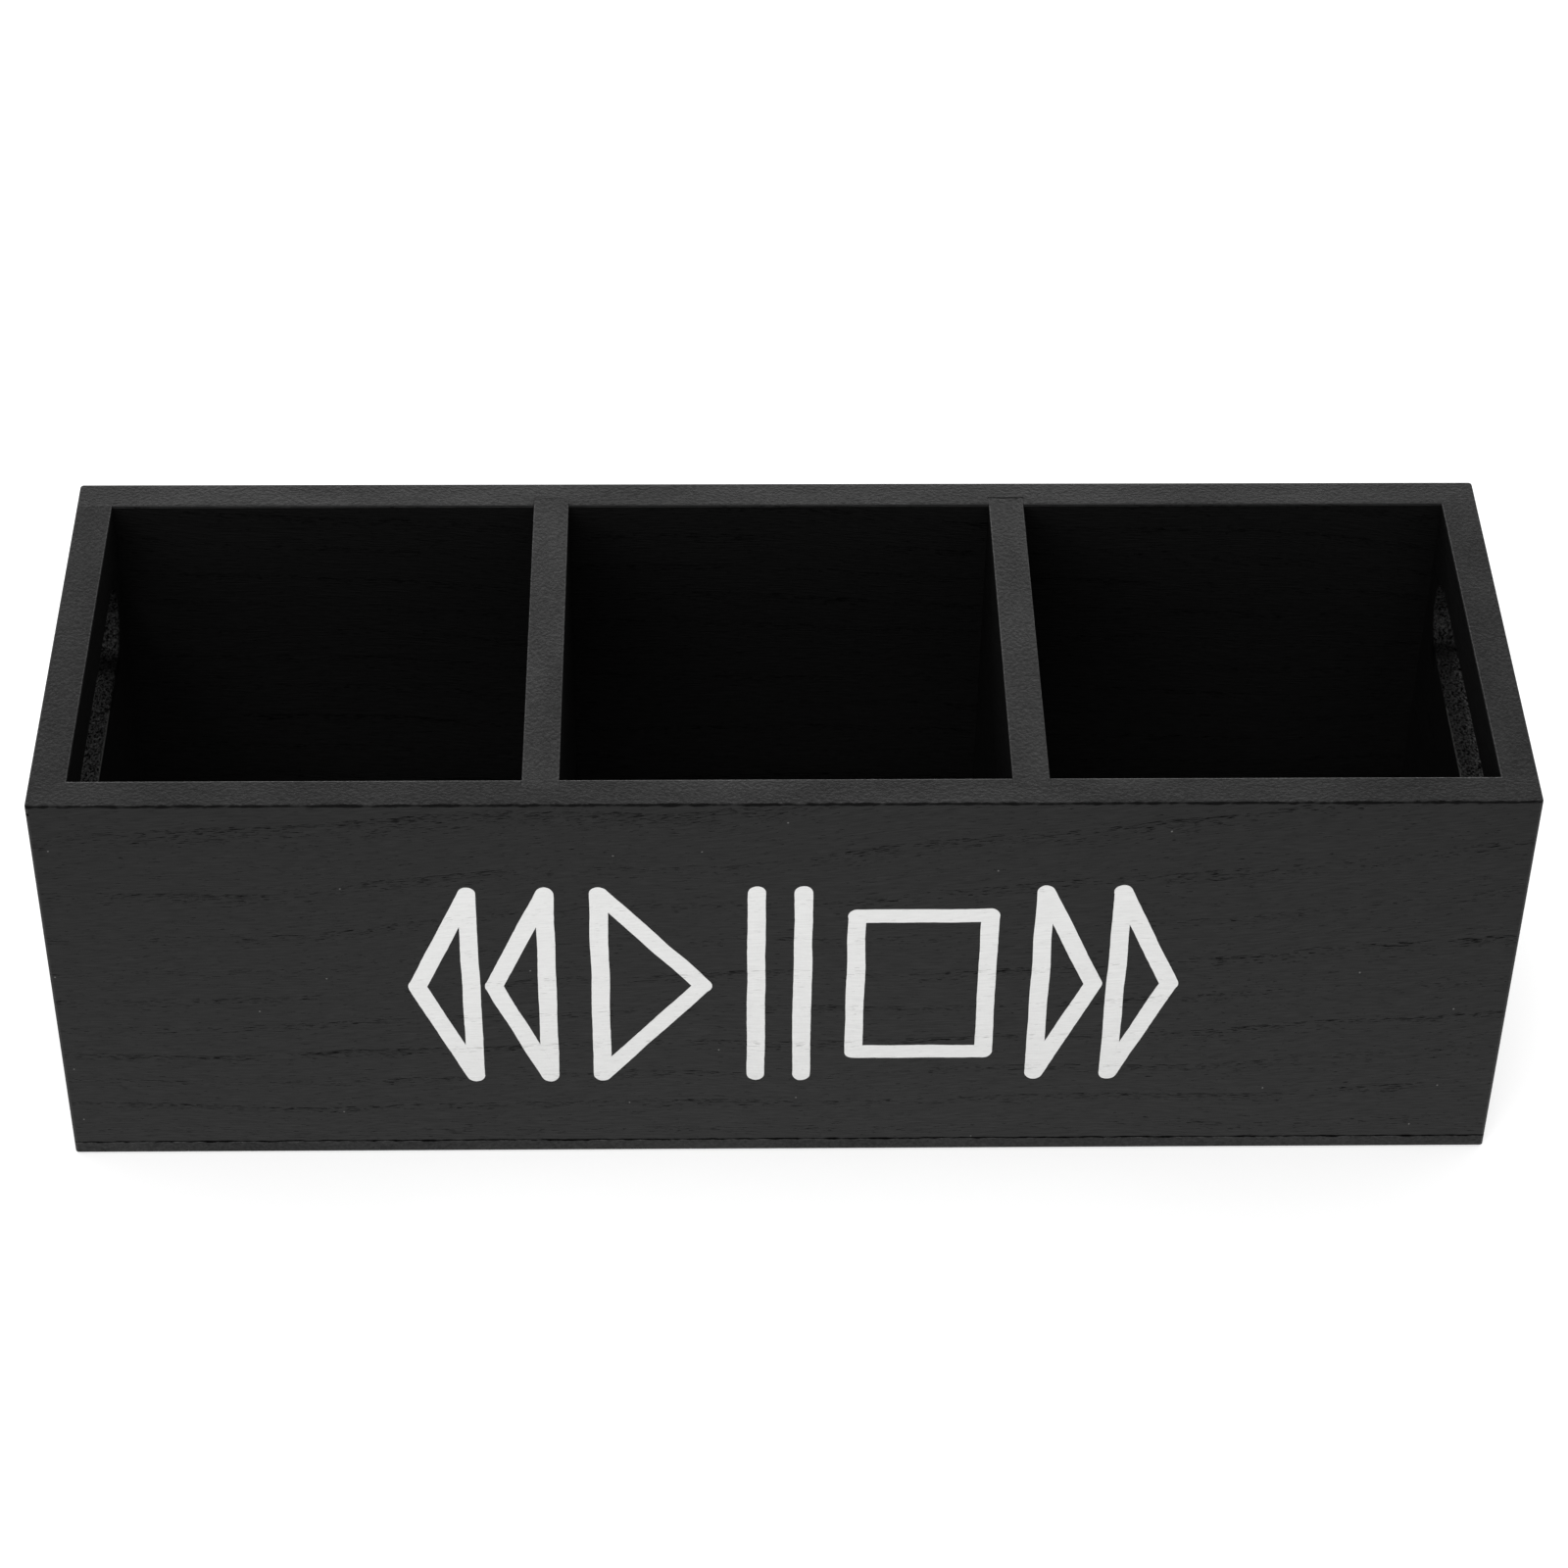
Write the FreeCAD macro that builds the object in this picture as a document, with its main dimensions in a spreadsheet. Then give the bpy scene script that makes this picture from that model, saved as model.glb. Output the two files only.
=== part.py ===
import FreeCAD, Part
import math
import os
import Sketcher

# A remote control holder: a long, open-topped box of black painted boards. Two dividers part
# it into three equal compartments, and a hand slot goes through each end board.
# X runs along the box, Y from front to back and Z up. The origin lies on the surface that the
# box stands on, under its middle. Sizes are in millimetres.

# Each row is a name, a size and what it measures.
DIMENSIONS = (
    ("overall_length", 300, "outside, end to end"),
    ("overall_depth", 103, "outside, front to back"),
    ("overall_height", 99.5, "from the underside to the rim"),
    ("wall_thickness", 7.5, "front, back and end boards"),
    ("divider_thickness", 7.5, "boards between the compartments"),
    ("bottom_thickness", 3.5, "board under the walls"),
    ("groove_depth", 2.4, "housing of a divider in a long board"),
    ("groove_play", 0.05, "glue line round a housed divider"),
    ("slot_margin", 7, "from an end board's edge to the round end of its hand slot"),
    ("slot_height", 17, "hand slot, upright"),
    ("slot_drop", 21.5, "from the rim to the middle of the hand slot"),
    ("slot_rounding", 0.8, "arrises of the hand slot"),
    ("corner_rounding", 0.8, "upright outer corners"),
    ("rim_rounding", 0.35, "arrises of the rim, sanded after assembly"),
    ("foot_easing", 0.5, "lower arris of the bottom board"),
    ("joint_easing", 0.3, "upper arris of the bottom board, which draws the joint line"),
    ("brad_length", 15, "flat wire brad, head to point"),
    ("brad_width", 1.25, "shank, across the wire"),
    ("brad_thickness", 1, "shank and head, through the wire"),
    ("brad_head_width", 2, "head"),
    ("brad_head_height", 0.5, "head"),
    ("brad_point_length", 1.5, "chisel point"),
    ("brad_point_width", 0.4, "end of the chisel point"),
    ("brad_cover", 1, "filler over the head of a corner brad"),
    ("long_foot_brad_margin", 30, "from the box's end to the nearest brad under a long board"),
    ("end_foot_brad_margin", 22, "from an end board's edge to the nearest brad under it"),
    ("corner_brad_margin", 16, "from an end board's foot, and from its slot, to a corner brad"),
)

COMPARTMENT_COUNT = 3
LONG_BOARD_BRAD_COUNT = 4
END_BOARD_BRAD_COUNT = 2
CORNER_BRAD_COUNT = 2

# Sizes that follow from the driving ones.
WALL_HEIGHT = "(Sizes.overall_height - Sizes.bottom_thickness)"
INNER_DEPTH = "(Sizes.overall_depth - 2 * Sizes.wall_thickness)"
WALL_MIDDLE = "(Sizes.wall_thickness / 2)"
COMPARTMENT_LENGTH = (
    "((Sizes.overall_length - 2 * Sizes.wall_thickness"
    f" - {COMPARTMENT_COUNT - 1} * Sizes.divider_thickness) / {COMPARTMENT_COUNT})"
)
PITCH = f"({COMPARTMENT_LENGTH} + Sizes.divider_thickness)"
SLOT_LENGTH = f"({INNER_DEPTH} - 2 * Sizes.slot_margin)"
SLOT_MIDDLE = f"({WALL_HEIGHT} - Sizes.slot_drop)"
SLOT_FOOT = f"({SLOT_MIDDLE} - Sizes.slot_height / 2)"
LONG_FOOT_BRAD_SPACING = (
    "((Sizes.overall_length - 2 * Sizes.long_foot_brad_margin)"
    f" / {LONG_BOARD_BRAD_COUNT - 1})"
)
END_FOOT_BRAD_SPACING = (
    f"(({INNER_DEPTH} - 2 * Sizes.end_foot_brad_margin) / {END_BOARD_BRAD_COUNT - 1})"
)
CORNER_BRAD_SPACING = (
    f"(({SLOT_FOOT} - 2 * Sizes.corner_brad_margin) / {CORNER_BRAD_COUNT - 1})"
)

# Edges and volumes that differ by less than this count as the same.
TOLERANCE = 1e-4

Z_AXIS = FreeCAD.Vector(0, 0, 1)

doc = FreeCAD.newDocument("RemoteControlHolder")
sheet = doc.addObject("Spreadsheet::Sheet", "Sizes")


def vector(x, y):
    """Makes a point of a sketch."""
    return FreeCAD.Vector(x, y, 0)


def fill_sheet():
    """Writes the driving dimensions into the spreadsheet, one to a row."""
    for row, (name, value, meaning) in enumerate(DIMENSIONS, start=1):
        sheet.set(f"A{row}", name)
        sheet.set(f"B{row}", str(value))
        sheet.setAlias(f"B{row}", name)
        sheet.set(f"C{row}", meaning)
    doc.recompute()


def size(expression):
    """Gives the present value of a size, in millimetres."""
    return float(sheet.evalExpression(expression))


def bind(item, **expressions):
    """Ties properties of an object to sizes."""
    for name, expression in expressions.items():
        item.setExpression(name, expression)


def add_body(name):
    """Starts a body that may hold several solids."""
    body = doc.addObject("PartDesign::Body", name)
    body.AllowCompound = True
    return body


def origin_item(body, role):
    """Finds a plane or an axis of a body's own origin."""
    return next(item for item in body.Origin.OriginFeatures if item.Role == role)


def add_sketch(body, name, plane, **offsets):
    """Lays a sketch on an origin plane; x, y and z shift it in its own directions."""
    sketch = body.newObject("Sketcher::SketchObject", name)
    sketch.AttachmentSupport = [(origin_item(body, plane), "")]
    sketch.MapMode = "FlatFace"
    for axis, expression in offsets.items():
        sketch.setExpression(f"AttachmentOffset.Base.{axis}", expression)
    return sketch


def constrain(sketch, name, expression, *constraint):
    """Adds a named dimension to a sketch and ties it to a size."""
    index = sketch.addConstraint(Sketcher.Constraint(*constraint, size(expression)))
    sketch.renameConstraint(index, name)
    sketch.setExpression(f"Constraints.{name}", expression)


def draw_rectangle(sketch, width, height):
    """Draws a rectangle about the sketch's origin."""
    x = size(width) / 2
    y = size(height) / 2
    corners = [vector(-x, -y), vector(x, -y), vector(x, y), vector(-x, y)]
    for start, end in zip(corners, corners[1:] + corners[:1]):
        sketch.addGeometry(Part.LineSegment(start, end))
    for side in range(4):
        sketch.addConstraint(Sketcher.Constraint("Coincident", side, 2, (side + 1) % 4, 1))
    for side in (0, 2):
        sketch.addConstraint(Sketcher.Constraint("Horizontal", side))
        sketch.addConstraint(Sketcher.Constraint("Vertical", side + 1))
    sketch.addConstraint(Sketcher.Constraint("Symmetric", 0, 1, 2, 1, -1, 1))
    constrain(sketch, "width", width, "DistanceX", 0, 1, 0, 2)
    constrain(sketch, "height", height, "DistanceY", 1, 1, 1, 2)


def draw_slot(sketch, length, height):
    """Draws a slot with round ends about the sketch's origin."""
    radius = size(height) / 2
    reach = size(length) / 2 - radius
    quarter = math.pi / 2
    ends = [
        Part.ArcOfCircle(Part.Circle(vector(-reach, 0), Z_AXIS, radius), quarter, 3 * quarter),
        Part.ArcOfCircle(Part.Circle(vector(reach, 0), Z_AXIS, radius), -quarter, quarter),
    ]
    sides = [
        Part.LineSegment(vector(-reach, radius), vector(reach, radius)),
        Part.LineSegment(vector(-reach, -radius), vector(reach, -radius)),
    ]
    left, right, top, bottom = (sketch.addGeometry(item) for item in ends + sides)
    for arc, arc_end, line, line_end in (
        (left, 1, top, 1),
        (left, 2, bottom, 1),
        (right, 2, top, 2),
        (right, 1, bottom, 2),
    ):
        sketch.addConstraint(Sketcher.Constraint("Tangent", arc, arc_end, line, line_end))
    sketch.addConstraint(Sketcher.Constraint("Equal", left, right))
    sketch.addConstraint(Sketcher.Constraint("Horizontal", top))
    sketch.addConstraint(Sketcher.Constraint("Symmetric", left, 3, right, 3, -1, 1))
    constrain(sketch, "radius", f"{height} / 2", "Radius", left)
    constrain(sketch, "reach", f"{length} - {height}", "DistanceX", left, 3, right, 3)


def draw_brad(sketch):
    """Draws a brad's outline, the middle of its head at the origin and its point up the Y axis.

    The right half is listed from the head to the point, and the left half mirrors it.
    """
    head = size("Sizes.brad_head_width") / 2
    shank = size("Sizes.brad_width") / 2
    point = size("Sizes.brad_point_width") / 2
    neck = size("Sizes.brad_head_height")
    length = size("Sizes.brad_length")
    shoulder = length - size("Sizes.brad_point_length")
    half = [(head, 0), (head, neck), (shank, neck), (shank, shoulder), (point, length)]
    outline = [vector(x, y) for x, y in half]
    outline += [vector(-x, y) for x, y in reversed(half)]
    for start, end in zip(outline, outline[1:] + outline[:1]):
        sketch.addGeometry(Part.LineSegment(start, end))
    count = len(outline)
    right_head, right_under, right_shank, right_point, tip = range(len(half))
    for line in range(count):
        sketch.addConstraint(Sketcher.Constraint("Coincident", line, 2, (line + 1) % count, 1))
    for line in range(len(half)):
        mirrored = count - 1 - line
        sketch.addConstraint(Sketcher.Constraint("Symmetric", line, 1, mirrored, 1, -2))
    top = count - 1
    sketch.addConstraint(Sketcher.Constraint("PointOnObject", right_head, 1, -1))
    sketch.addConstraint(Sketcher.Constraint("Horizontal", right_under))
    for line in (right_head, right_shank):
        sketch.addConstraint(Sketcher.Constraint("Vertical", line))
    constrain(sketch, "head", "Sizes.brad_head_width", "DistanceX", top, 1, top, 2)
    constrain(sketch, "neck", "Sizes.brad_head_height", "DistanceY", right_head, 1, right_head, 2)
    constrain(sketch, "shank", "Sizes.brad_width / 2", "DistanceX", -1, 1, right_shank, 1)
    constrain(sketch, "tip", "Sizes.brad_point_width", "DistanceX", tip, 2, tip, 1)
    constrain(sketch, "point", "Sizes.brad_point_length", "DistanceY", right_point, 1, right_point, 2)
    constrain(sketch, "length", "Sizes.brad_length", "DistanceY", -1, 1, tip, 1)


def add_pad(body, sketch, name, length, both_ways=False):
    """Pads a sketch along its normal, or half to each side of it."""
    pad = body.newObject("PartDesign::Pad", name)
    pad.Profile = sketch
    if both_ways:
        pad.SideType = "Symmetric"
    bind(pad, Length=length)
    body.Tip = pad
    doc.recompute()
    return pad


def add_through_pocket(body, sketch, name):
    """Cuts a sketch right through a body, both ways, and makes sure that something went."""
    before = body.Shape.Volume
    pocket = body.newObject("PartDesign::Pocket", name)
    pocket.Profile = sketch
    pocket.SideType = "Symmetric"
    pocket.Type = "ThroughAll"
    doc.recompute()
    if pocket.Shape.Volume > before - TOLERANCE:
        raise RuntimeError(f"{pocket.Label} cuts nothing")
    return pocket


def add_row(body, feature, name, axis, spacing, count):
    """Repeats a feature along an axis of the body's origin."""
    row = body.newObject("PartDesign::LinearPattern", name)
    row.Originals = [feature]
    row.Direction = (origin_item(body, axis), [""])
    row.Mode = "Spacing"
    bind(row, Offset=spacing)
    row.Occurrences = count
    body.Tip = row
    doc.recompute()
    return row


def add_mirrored_rows(body, feature, name, axis, spacing, count, planes):
    """Repeats a feature along an axis and mirrors the row about origin planes."""
    rows = body.newObject("PartDesign::MultiTransform", name)
    row = body.newObject("PartDesign::LinearPattern", f"{name}Row")
    row.Direction = (origin_item(body, axis), [""])
    row.Mode = "Spacing"
    bind(row, Offset=spacing)
    row.Occurrences = count
    steps = [row]
    for plane in planes:
        mirror = body.newObject("PartDesign::Mirrored", f"{name}{plane[:2]}")
        mirror.MirrorPlane = (origin_item(body, plane), [""])
        steps.append(mirror)
    rows.Originals = [feature]
    rows.Transformations = steps
    body.Tip = rows
    doc.recompute()
    return rows


def edges_where(base, wanted):
    """Names the edges of a feature whose bounding box passes a test."""
    edges = [
        f"Edge{number}"
        for number, edge in enumerate(base.Shape.Edges, start=1)
        if wanted(edge.BoundBox)
    ]
    if not edges:
        raise RuntimeError(f"{base.Label} has no such edge")
    return edges


def add_fillet(body, name, base, radius, wanted):
    """Rounds the edges of a feature whose bounding box passes a test."""
    fillet = body.newObject("PartDesign::Fillet", name)
    fillet.Base = (base, edges_where(base, wanted))
    bind(fillet, Radius=radius)
    body.Tip = fillet
    doc.recompute()
    return fillet


def add_chamfer(body, name, base, width, wanted):
    """Eases the edges of a feature whose bounding box passes a test, at 45 degrees."""
    chamfer = body.newObject("PartDesign::Chamfer", name)
    chamfer.Base = (base, edges_where(base, wanted))
    bind(chamfer, Size=width)
    body.Tip = chamfer
    doc.recompute()
    return chamfer


def is_upright(box):
    """Tells whether an edge is a straight upright one."""
    return box.ZLength > TOLERANCE and max(box.XLength, box.YLength) < TOLERANCE


def level_at(height):
    """Makes a test for edges that lie level at a height."""
    return lambda box: abs(box.ZMin - height) < TOLERANCE and abs(box.ZMax - height) < TOLERANCE


def place(item, turned=False, **offsets):
    """Places an object by sizes, and turns it half round about the upright when asked."""
    if turned:
        item.Placement = FreeCAD.Placement(vector(0, 0), FreeCAD.Rotation(Z_AXIS, 180))
    for axis, expression in offsets.items():
        item.setExpression(f"Placement.Base.{axis}", expression)


def make_sanded_form():
    """The box as glued up and sanded, with no bottom: walls and dividers in one.

    Its arrises run on from board to board, so each board takes its share of them from here.
    """
    body = add_body("SandedForm")
    outline = add_sketch(body, "FormOutline", "XY_Plane")
    draw_rectangle(outline, "Sizes.overall_length", "Sizes.overall_depth")
    block = add_pad(body, outline, "FormBlock", WALL_HEIGHT)
    add_fillet(body, "FormCorners", block, "Sizes.corner_rounding", is_upright)
    first = add_sketch(body, "CompartmentOutline", "XY_Plane", x=f"-{PITCH}")
    draw_rectangle(first, COMPARTMENT_LENGTH, INNER_DEPTH)
    hollow = add_through_pocket(body, first, "Compartment")
    hollows = add_row(body, hollow, "Compartments", "X_Axis", PITCH, COMPARTMENT_COUNT)
    add_fillet(body, "FormRim", hollows, "Sizes.rim_rounding", level_at(size(WALL_HEIGHT)))
    place(body, z="Sizes.bottom_thickness")
    return body


def make_long_board(name, turned):
    """A long wall board before sanding: outer face on its own XZ plane, two housing grooves."""
    body = add_body(name)
    outline = add_sketch(body, f"{name}Outline", "XY_Plane", y=WALL_MIDDLE)
    draw_rectangle(outline, "Sizes.overall_length", "Sizes.wall_thickness")
    add_pad(body, outline, f"{name}Board", WALL_HEIGHT)
    groove_outline = add_sketch(
        body,
        f"{name}GrooveOutline",
        "XY_Plane",
        x=f"-{PITCH} * {COMPARTMENT_COUNT - 2} / 2",
        y="Sizes.wall_thickness - Sizes.groove_depth / 2",
    )
    draw_rectangle(
        groove_outline,
        "Sizes.divider_thickness + 2 * Sizes.groove_play",
        "Sizes.groove_depth",
    )
    groove = add_through_pocket(body, groove_outline, f"{name}Groove")
    add_row(body, groove, f"{name}Grooves", "X_Axis", PITCH, COMPARTMENT_COUNT - 1)
    side = "Sizes.overall_depth / 2"
    place(body, turned, y=side if turned else f"-{side}", z="Sizes.bottom_thickness")
    return body


def make_end_board(name, turned):
    """An end board before sanding: outer face on its own YZ plane, hand slot with eased edges."""
    body = add_body(name)
    outline = add_sketch(body, f"{name}Outline", "XY_Plane", x=WALL_MIDDLE)
    draw_rectangle(outline, "Sizes.wall_thickness", INNER_DEPTH)
    add_pad(body, outline, f"{name}Board", WALL_HEIGHT)
    slot_outline = add_sketch(body, f"{name}SlotOutline", "YZ_Plane", y=SLOT_MIDDLE)
    draw_slot(slot_outline, SLOT_LENGTH, "Sizes.slot_height")
    slot = add_through_pocket(body, slot_outline, f"{name}Slot")
    foot = size(SLOT_FOOT) - TOLERANCE
    top = foot + size("Sizes.slot_height") + 2 * TOLERANCE

    def rims_slot(box):
        """Tells whether an edge lies on a face of the board and belongs to the slot."""
        return box.XLength < TOLERANCE and foot < box.ZMin and box.ZMax < top

    add_fillet(body, f"{name}SlotEasing", slot, "Sizes.slot_rounding", rims_slot)
    side = "Sizes.overall_length / 2"
    place(body, turned, x=side if turned else f"-{side}", z="Sizes.bottom_thickness")
    return body


def make_divider(name, side):
    """A divider before sanding, its ends in the housing grooves and its foot on the bottom."""
    board = doc.addObject("Part::Box", name)
    reach = f"({INNER_DEPTH} + 2 * (Sizes.groove_depth - Sizes.groove_play))"
    bind(board, Length="Sizes.divider_thickness", Width=reach, Height=WALL_HEIGHT)
    place(
        board,
        x=f"{side} * {PITCH} / 2 - Sizes.divider_thickness / 2",
        y=f"-{reach} / 2",
        z="Sizes.bottom_thickness",
    )
    return board


def make_bottom_board():
    """The board under the walls, with the box's round corners and its own eased arrises."""
    body = add_body("BottomBlank")
    outline = add_sketch(body, "BottomOutline", "XY_Plane")
    draw_rectangle(outline, "Sizes.overall_length", "Sizes.overall_depth")
    board = add_pad(body, outline, "BottomPad", "Sizes.bottom_thickness")
    corners = add_fillet(body, "BottomCorners", board, "Sizes.corner_rounding", is_upright)
    foot = add_chamfer(body, "BottomFoot", corners, "Sizes.foot_easing", level_at(0))
    upper = level_at(size("Sizes.bottom_thickness"))
    add_chamfer(body, "BottomJoint", foot, "Sizes.joint_easing", upper)
    return body


def add_brad(body, name, plane, **offsets):
    """Makes one brad, cut from flat wire; the sketch lies in the middle of the wire."""
    sketch = add_sketch(body, f"{name}Outline", plane, **offsets)
    draw_brad(sketch)
    return add_pad(body, sketch, name, "Sizes.brad_thickness", both_ways=True)


def make_bottom_brads():
    """Brads driven up through the bottom board into the middle of each wall's foot."""
    body = add_body("BottomBrads")
    under_long_board = add_brad(
        body,
        "LongFootBrad",
        "XZ_Plane",
        x="Sizes.long_foot_brad_margin - Sizes.overall_length / 2",
        z=f"Sizes.overall_depth / 2 - {WALL_MIDDLE}",
    )
    add_mirrored_rows(
        body,
        under_long_board,
        "LongFootBrads",
        "X_Axis",
        LONG_FOOT_BRAD_SPACING,
        LONG_BOARD_BRAD_COUNT,
        ["XZ_Plane"],
    )
    under_end_board = add_brad(
        body,
        "EndFootBrad",
        "XZ_Plane",
        x=f"{WALL_MIDDLE} - Sizes.overall_length / 2",
        z=f"{INNER_DEPTH} / 2 - Sizes.end_foot_brad_margin",
    )
    add_mirrored_rows(
        body,
        under_end_board,
        "EndFootBrads",
        "Y_Axis",
        END_FOOT_BRAD_SPACING,
        END_BOARD_BRAD_COUNT,
        ["YZ_Plane"],
    )
    return body


def make_corner_brads():
    """Brads driven through the long boards into the ends of the end boards, heads sunk."""
    body = add_body("CornerBrads")
    lower = add_brad(
        body,
        "CornerBrad",
        "XY_Plane",
        x=f"{WALL_MIDDLE} - Sizes.overall_length / 2",
        y="Sizes.brad_cover - Sizes.overall_depth / 2",
        z="Sizes.bottom_thickness + Sizes.corner_brad_margin",
    )
    add_mirrored_rows(
        body,
        lower,
        "CornerBradRows",
        "Z_Axis",
        CORNER_BRAD_SPACING,
        CORNER_BRAD_COUNT,
        ["XZ_Plane", "YZ_Plane"],
    )
    return body


def combine(kind, name, base, tool):
    """Adds a boolean of two objects."""
    result = doc.addObject(kind, name)
    result.Base = base
    result.Tool = tool
    result.Refine = True
    return result


def finish_board(label, blank, form=None, brads=None):
    """Sands a board to the box's form and drives the brads into it."""
    board = blank
    if form:
        board = combine("Part::Common", f"{blank.Name}Sanded", board, form)
    if brads:
        board = combine("Part::Cut", f"{blank.Name}Nailed", board, brads)
    board.Label = label
    return board


def check(pieces):
    """Stops the build if any object failed or any piece isn't the solids that it should be."""
    for item in doc.Objects:
        if {"Invalid", "Error"} & set(item.State):
            raise RuntimeError(f"{item.Label} failed: {item.State}")
    for piece, solids in pieces:
        shape = piece.Shape
        if shape.isNull() or not shape.isValid():
            raise RuntimeError(f"{piece.Label} has no valid shape")
        if len(shape.Solids) != solids:
            raise RuntimeError(f"{piece.Label} is {len(shape.Solids)} solids, not {solids}")


fill_sheet()
form = make_sanded_form()
bottom_brads = make_bottom_brads()
corner_brads = make_corner_brads()
bottom_brads.Label = "bottom_brads"
corner_brads.Label = "corner_brads"
all_brads = doc.addObject("Part::Compound", "AllBrads")
all_brads.Links = [bottom_brads, corner_brads]

boards = [
    finish_board("front_board", make_long_board("Front", False), form, all_brads),
    finish_board("back_board", make_long_board("Back", True), form, all_brads),
    finish_board("left_end_board", make_end_board("LeftEnd", False), form, all_brads),
    finish_board("right_end_board", make_end_board("RightEnd", True), form, all_brads),
    finish_board("left_divider", make_divider("LeftDivider", -1), form),
    finish_board("right_divider", make_divider("RightDivider", 1), form),
    finish_board("bottom_board", make_bottom_board(), brads=bottom_brads),
]
doc.recompute()

pieces = [(board, 1) for board in boards]
pieces.append((bottom_brads, 2 * (LONG_BOARD_BRAD_COUNT + END_BOARD_BRAD_COUNT)))
pieces.append((corner_brads, 4 * CORNER_BRAD_COUNT))
check(pieces)

os.makedirs("parts", exist_ok=True)
for piece, _ in pieces:
    piece.Shape.exportStep(f"parts/{piece.Label}.step")
    print(piece.Label, round(piece.Shape.Volume, 1))
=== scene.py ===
"""Dresses the construction model of a remote control holder and sets it in a plain studio.

The holder is a long open box of open-grained wood under brushed black paint. Its boards come
from the construction model and get their paint here. The white marks on the front are
modelled here. Everything is in metres, apart from the grain and the marks, which are laid out
in millimetres.
"""

import logging
import math
from dataclasses import dataclass
from enum import Enum

import bmesh
import bpy
from bpy.types import Material, Node, NodeSocket, NodeTree, Object
from mathutils import Matrix, Vector, noise


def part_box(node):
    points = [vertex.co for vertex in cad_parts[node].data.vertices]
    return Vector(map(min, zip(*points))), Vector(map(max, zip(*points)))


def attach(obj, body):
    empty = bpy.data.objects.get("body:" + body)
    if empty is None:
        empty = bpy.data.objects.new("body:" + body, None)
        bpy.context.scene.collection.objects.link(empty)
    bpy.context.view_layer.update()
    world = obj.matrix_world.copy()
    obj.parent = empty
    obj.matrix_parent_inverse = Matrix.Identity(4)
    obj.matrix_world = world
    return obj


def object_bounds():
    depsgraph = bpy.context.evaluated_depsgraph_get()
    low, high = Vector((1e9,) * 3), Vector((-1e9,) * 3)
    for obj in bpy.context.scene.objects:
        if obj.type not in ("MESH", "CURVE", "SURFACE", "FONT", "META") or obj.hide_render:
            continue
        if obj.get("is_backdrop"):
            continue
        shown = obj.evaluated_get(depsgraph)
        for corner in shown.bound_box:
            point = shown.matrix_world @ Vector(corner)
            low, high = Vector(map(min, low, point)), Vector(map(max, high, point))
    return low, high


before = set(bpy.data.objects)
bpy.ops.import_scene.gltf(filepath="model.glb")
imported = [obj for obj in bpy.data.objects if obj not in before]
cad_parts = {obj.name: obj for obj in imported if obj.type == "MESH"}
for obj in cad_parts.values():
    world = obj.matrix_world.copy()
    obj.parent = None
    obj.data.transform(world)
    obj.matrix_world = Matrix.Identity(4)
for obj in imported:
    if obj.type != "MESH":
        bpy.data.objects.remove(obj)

log = logging.getLogger("holder")

Pair = tuple[float, float]
Triple = tuple[float, float, float]

MM = 0.001
BODY = "root"
WHITE = "#FFFFFF"
RAYS_TO_WHITE = ("Camera", "Glossy", "Transmission")
ANYWHERE = 1.0  # half a size, in metres, that passes the whole holder
NOISE_SPREAD = (0.3, 0.7)  # the values that a noise texture seldom leaves


class Lie(Enum):
    """How a board lies: the directions along its grain, across its face and through it."""

    LONG_UPRIGHT = ((1, 0, 0), (0, 0, 1), (0, -1, 0))
    CROSS_UPRIGHT = ((0, 1, 0), (0, 0, 1), (1, 0, 0))
    FLAT = ((1, 0, 0), (0, 1, 0), (0, 0, 1))

    def turn(self) -> Triple:
        """Gives the turn that lays the grain along a pattern's first axis."""
        return tuple(Matrix(self.value).to_euler())

    def through(self) -> tuple[int, int, int]:
        """Gives the direction through the board."""
        return self.value[2]


def linear(hex_colour: str) -> tuple[float, float, float, float]:
    """Turns an sRGB hex colour into linear values.

    Args:
        hex_colour: the colour as "#rrggbb".

    Returns:
        Linear red, green and blue, and 1 for opaque.
    """
    parts = [int(hex_colour[start : start + 2], 16) / 255 for start in (1, 3, 5)]
    parts = [p / 12.92 if p <= 0.04045 else ((p + 0.055) / 1.055) ** 2.4 for p in parts]
    return (*parts, 1.0)


def add_node(tree: NodeTree, kind: str, *values, sockets: dict | None = None, **settings) -> Node:
    """Adds a shader node with its settings and links.

    Args:
        tree: the node tree that takes the node.
        kind: the node's type, as it stands after ShaderNode.
        values: a value, socket or node for each open input in turn; None leaves one alone.
        sockets: the same, by the input's name.
        settings: the node's own properties.

    Returns:
        The new node.
    """
    node = tree.nodes.new("ShaderNode" + kind)
    for name, value in settings.items():
        setattr(node, name, value)
    inputs = [socket for socket in node.inputs if socket.enabled]
    pairs = list(zip(inputs, values))
    for name, value in (sockets or {}).items():
        pairs.append((next(socket for socket in inputs if socket.name == name), value))
    for socket, value in pairs:
        if isinstance(value, Node):
            value = next(output for output in value.outputs if output.enabled)
        if isinstance(value, NodeSocket):
            tree.links.new(value, socket)
        elif value is not None:
            socket.default_value = value
    return node


def new_material(name: str) -> tuple[Material, NodeTree]:
    """Starts a material with an empty node tree.

    Args:
        name: what the material is.

    Returns:
        The material and its node tree.
    """
    material = bpy.data.materials.new(name)
    material.use_nodes = True
    material.node_tree.nodes.clear()
    return material, material.node_tree


def dress(item: Object, material: Material) -> None:
    """Gives an object one material in place of those it has, and reports it.

    Args:
        item: the object.
        material: its finish.
    """
    item.data.materials.clear()
    item.data.materials.append(material)
    log.info("%s: %s", item.name, material.name)


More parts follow.
